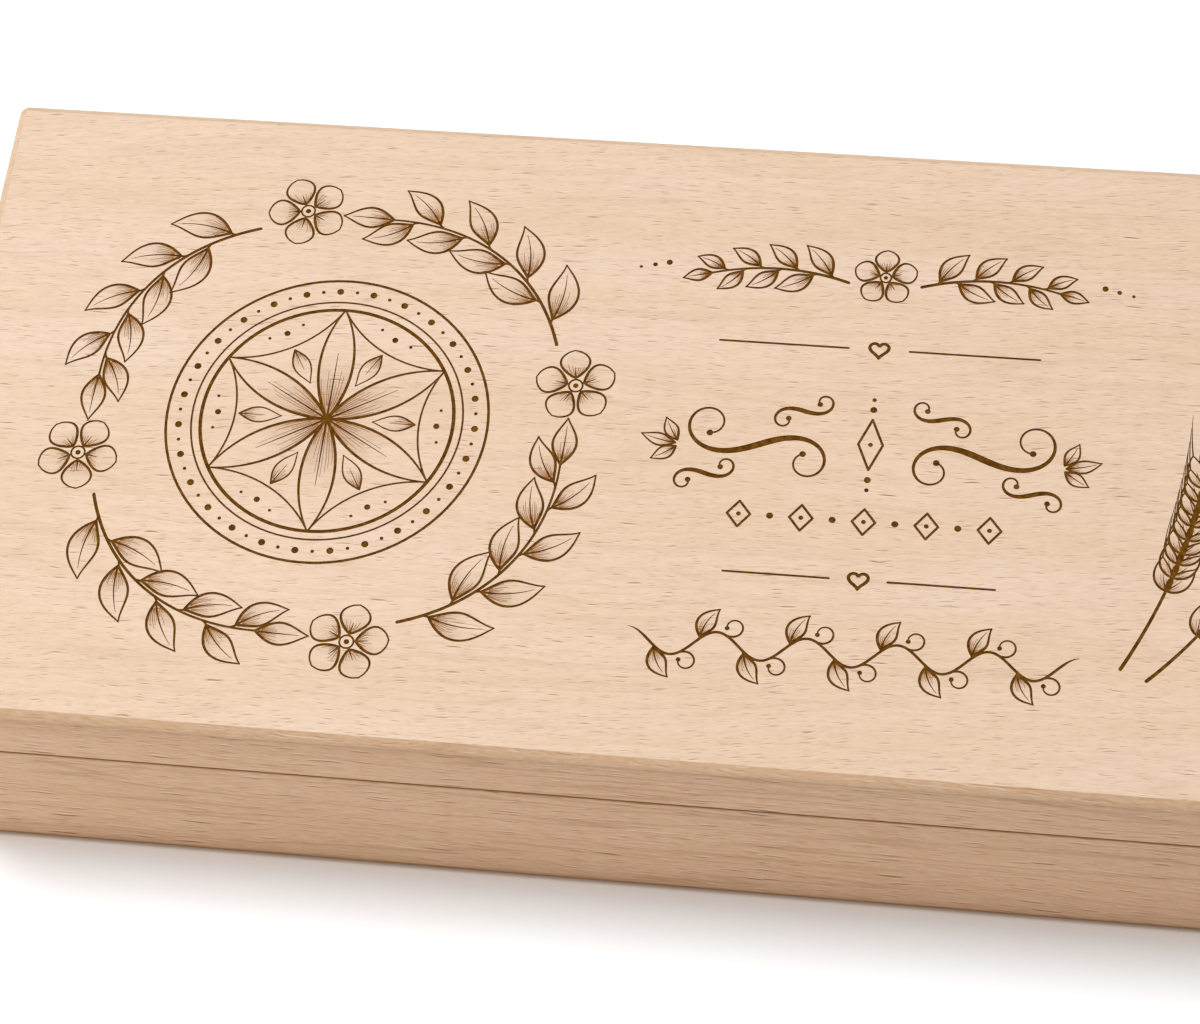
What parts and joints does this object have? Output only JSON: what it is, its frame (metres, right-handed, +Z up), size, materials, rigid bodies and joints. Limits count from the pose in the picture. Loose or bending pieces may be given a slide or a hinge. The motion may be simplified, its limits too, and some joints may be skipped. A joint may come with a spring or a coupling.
{
  "type": "money gift box",
  "caption": "Shallow oblong beech box for banknotes, with a hinged lid that swings right over on small butt hinges and is held shut by disc magnets.",
  "frame": {"origin": "centre of the underside, on the bottom panel's lower face", "axes": "+X along the box's length, +Y to the back where the hinges are, +Z up"},
  "size_m": [0.2, 0.1031, 0.041],
  "materials": {
    "beech": "sanded and lightly oiled, fine short flecks along the grain",
    "brass": "satin",
    "nickel": "plated, bright"
  },
  "bodies": {
    "base": {"base_front_wall": "beech", "base_back_wall": "beech", "base_left_wall": "beech", "base_right_wall": "beech", "base_bottom_panel": "beech", "hinge_left_base_leaf": "brass", "hinge_left_base_screw_1": "brass", "hinge_left_base_screw_2": "brass", "hinge_left_pin": "brass", "hinge_right_base_leaf": "brass", "hinge_right_base_screw_1": "brass", "hinge_right_base_screw_2": "brass", "hinge_right_pin": "brass", "base_left_magnet": "nickel", "base_right_magnet": "nickel"},
    "lid": {"lid_front_rail": "beech", "lid_back_rail": "beech", "lid_left_rail": "beech", "lid_right_rail": "beech", "lid_top_board": "beech", "hinge_left_lid_leaf": "brass", "hinge_left_lid_screw_1": "brass", "hinge_left_lid_screw_2": "brass", "hinge_right_lid_leaf": "brass", "hinge_right_lid_screw_1": "brass", "hinge_right_lid_screw_2": "brass", "lid_left_magnet": "nickel", "lid_right_magnet": "nickel"}
  },
  "joints": [
    {"name": "lid_hinge", "type": "hinge", "parent": "base", "child": "lid", "pos_m": [0, 0.05162, 0.0288], "axis": [-1, 0, 0], "range_deg": [0, 189]}
  ]
}
